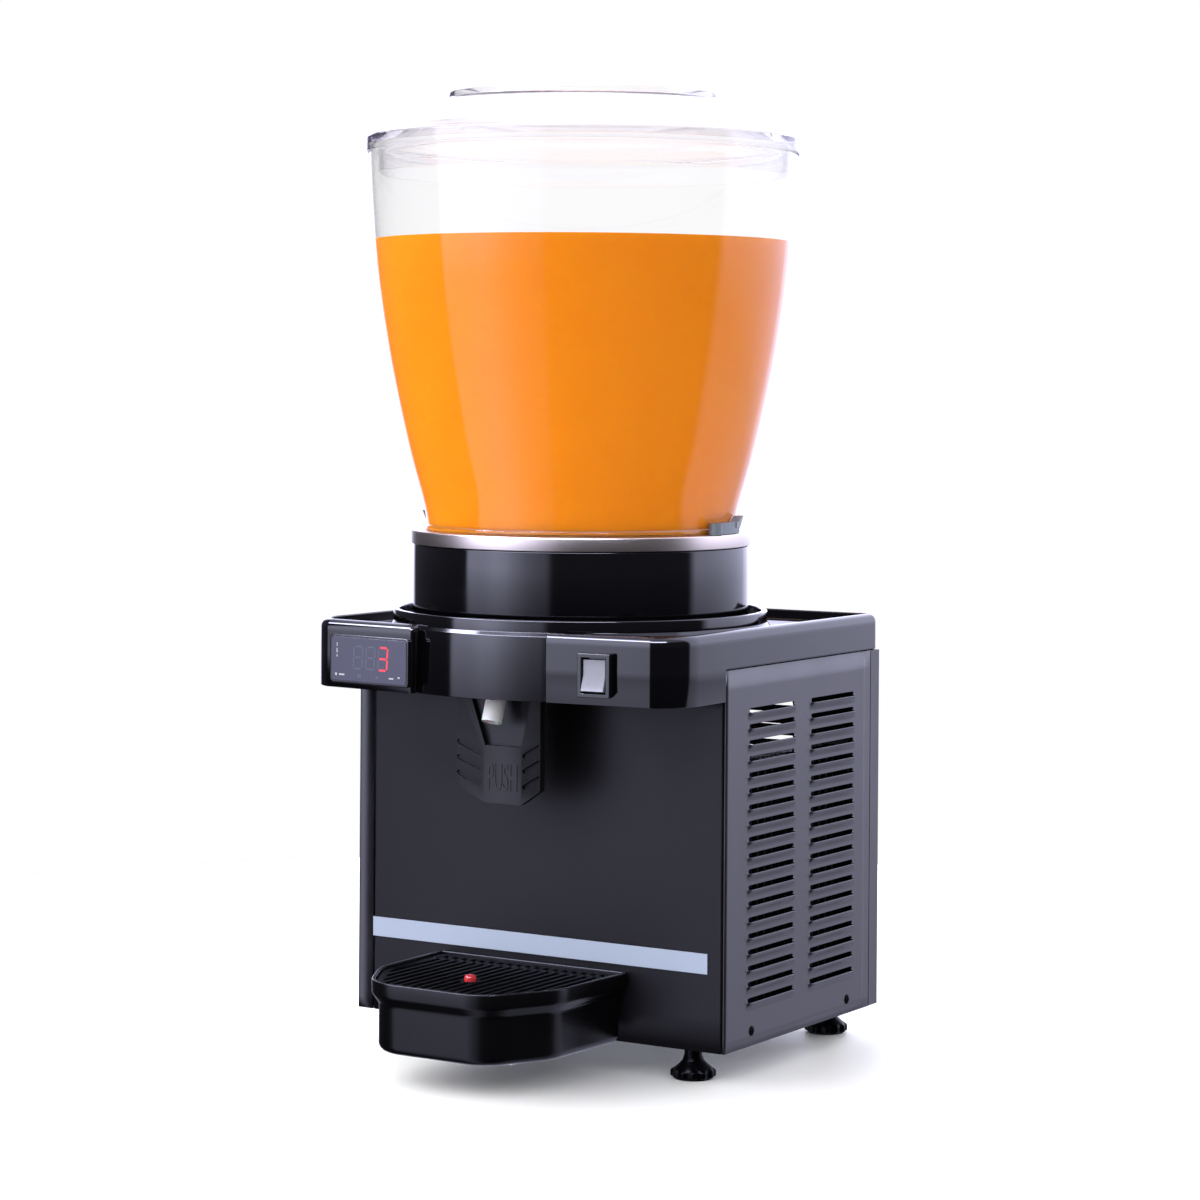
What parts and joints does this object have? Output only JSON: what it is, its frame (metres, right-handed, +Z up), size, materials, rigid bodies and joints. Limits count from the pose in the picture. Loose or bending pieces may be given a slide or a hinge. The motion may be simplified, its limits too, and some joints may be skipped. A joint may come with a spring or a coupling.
{
  "type": "cold drink dispenser",
  "caption": "Cold drink dispenser: clear tapering bowl with lid on a cooled steel basin, louvred sheet cabinet, moulded hood, push lever tap, drip tray and levelling feet.",
  "frame": {"origin": "on the floor, under the middle of the whole machine's bounding box", "axes": "+Z up, -Y to the user who stands before the tap, +X to the right hand of a person who looks at the front"},
  "size_m": [0.3258, 0.3734, 0.7117],
  "materials": {
    "panel_paint": "satin black powder coat",
    "hood_plastic": "gloss black moulding",
    "black_plastic": "fine satin black",
    "tray_plastic": "semi-gloss black moulding",
    "compressor_paint": "black enamel",
    "stainless": "bright rolled stainless steel",
    "zinc": "zinc plated sheet",
    "copper": "bare copper tube",
    "clear": "clear moulded, polished",
    "grey_plastic": "satin grey",
    "silicone": "milky white, soft",
    "paddle": "white, food grade",
    "red_plastic": "red, glossy",
    "foam": "closed cell foam, cut edges",
    "rubber": "black seal rubber",
    "aluminium": "bare fins",
    "strip": "pale plain film",
    "display": "dark tinted window",
    "rocker": "pale translucent"
  },
  "bodies": {
    "cabinet": {"base_pan": "zinc", "front_panel": "panel_paint", "left_side_panel": "panel_paint", "right_side_panel": "panel_paint", "rear_panel": "panel_paint", "cord_gland": "black_plastic", "screw_left_front": "black_plastic", "screw_left_rear": "black_plastic", "screw_right_front": "black_plastic", "screw_right_rear": "black_plastic", "trim_strip": "strip", "hood": "hood_plastic", "hood_underplate": "black_plastic", "controller": "black_plastic", "controller_window": "display", "switch_housing": "black_plastic", "drink_tube": "silicone", "tap_bracket": "zinc", "lever_pin": "stainless", "tray_bracket": "zinc", "compressor": "compressor_paint", "condenser": "aluminium", "fan_shroud": "zinc", "fan_motor": "zinc", "fan_bracket": "zinc", "discharge_pipe": "copper", "suction_pipe": "copper", "collar": "hood_plastic", "basin": "stainless", "evaporator_coil": "copper", "insulation": "foam", "bowl_gasket": "rubber", "mixer_motor": "zinc"},
    "bowl": {"bowl": "clear"},
    "lid": {"lid": "clear"},
    "latch_right": {"latch_right": "grey_plastic"},
    "latch_left": {"latch_left": "grey_plastic"},
    "impeller": {"impeller": "paddle"},
    "drive_magnet": {"drive_magnet": "zinc"},
    "fan": {"fan_blades": "black_plastic"},
    "lever": {"push_lever": "black_plastic", "lever_spring": "stainless"},
    "rocker": {"rocker": "rocker"},
    "tray": {"drip_tray": "tray_plastic"},
    "grate": {"drip_grate": "black_plastic"},
    "float": {"level_float": "red_plastic"},
    "foot_front_left": {"foot_front_left": "black_plastic"},
    "foot_front_right": {"foot_front_right": "black_plastic"},
    "foot_rear_left": {"foot_rear_left": "black_plastic"},
    "foot_rear_right": {"foot_rear_right": "black_plastic"}
  },
  "joints": [
    {"name": "bowl_lift", "type": "slide", "parent": "cabinet", "child": "bowl", "axis": [0, 0, 1], "range_m": [0, 0.25]},
    {"name": "lid_lift", "type": "slide", "parent": "bowl", "child": "lid", "axis": [0, 0, 1], "range_m": [0, 0.12]},
    {"name": "latch_right_swing", "type": "hinge", "parent": "cabinet", "child": "latch_right", "pos_m": [0.12101, 0.00264, 0.3872], "axis": [0, 0, 1], "range_deg": [-75, 0]},
    {"name": "latch_left_swing", "type": "hinge", "parent": "cabinet", "child": "latch_left", "pos_m": [-0.12101, 0.01956, 0.3872], "axis": [0, 0, 1], "range_deg": [-75, 0]},
    {"name": "magnet_spin", "type": "hinge", "parent": "cabinet", "child": "drive_magnet", "pos_m": [0, 0.0111, 0.328], "axis": [0, 0, 1], "continuous": true},
    {"name": "impeller_spin", "type": "hinge", "parent": "cabinet", "child": "impeller", "pos_m": [0, 0.0111, 0.343], "axis": [0, 0, 1], "continuous": true},
    {"name": "fan_spin", "type": "hinge", "parent": "cabinet", "child": "fan", "pos_m": [0.091, 0.0722, 0.12375], "axis": [1, 0, 0], "continuous": true},
    {"name": "lever_push", "type": "hinge", "parent": "cabinet", "child": "lever", "pos_m": [0, -0.0778, 0.282], "axis": [1, 0, 0], "range_deg": [0, 16], "stiffness_Nm_per_rad": 0.8, "springref_deg": -17.19},
    {"name": "rocker_tilt", "type": "hinge", "parent": "cabinet", "child": "rocker", "pos_m": [0.09915, -0.12807, 0.2932], "axis": [0.9946, 0.1033, 0], "range_deg": [0, 22]},
    {"name": "tray_slide", "type": "slide", "parent": "cabinet", "child": "tray", "axis": [0, -1, 0], "range_m": [0, 0.16]},
    {"name": "grate_lift", "type": "slide", "parent": "tray", "child": "grate", "axis": [0, 0, 1], "range_m": [0, 0.06]},
    {"name": "float_rise", "type": "slide", "parent": "tray", "child": "float", "axis": [0, 0, 1], "range_m": [0, 0.008]},
    {"name": "foot_front_left_turn", "type": "hinge", "parent": "cabinet", "child": "foot_front_left", "pos_m": [-0.125, -0.0308, 0.013], "axis": [0, 0, 1], "continuous": true},
    {"name": "foot_front_right_turn", "type": "hinge", "parent": "cabinet", "child": "foot_front_right", "pos_m": [0.125, -0.0308, 0.013], "axis": [0, 0, 1], "continuous": true},
    {"name": "foot_rear_left_turn", "type": "hinge", "parent": "cabinet", "child": "foot_rear_left", "pos_m": [-0.125, 0.1697, 0.013], "axis": [0, 0, 1], "continuous": true},
    {"name": "foot_rear_right_turn", "type": "hinge", "parent": "cabinet", "child": "foot_rear_right", "pos_m": [0.125, 0.1697, 0.013], "axis": [0, 0, 1], "continuous": true}
  ],
  "couplings": [
    {"joint": "impeller_spin", "follows": "magnet_spin", "ratio": 1}
  ]
}
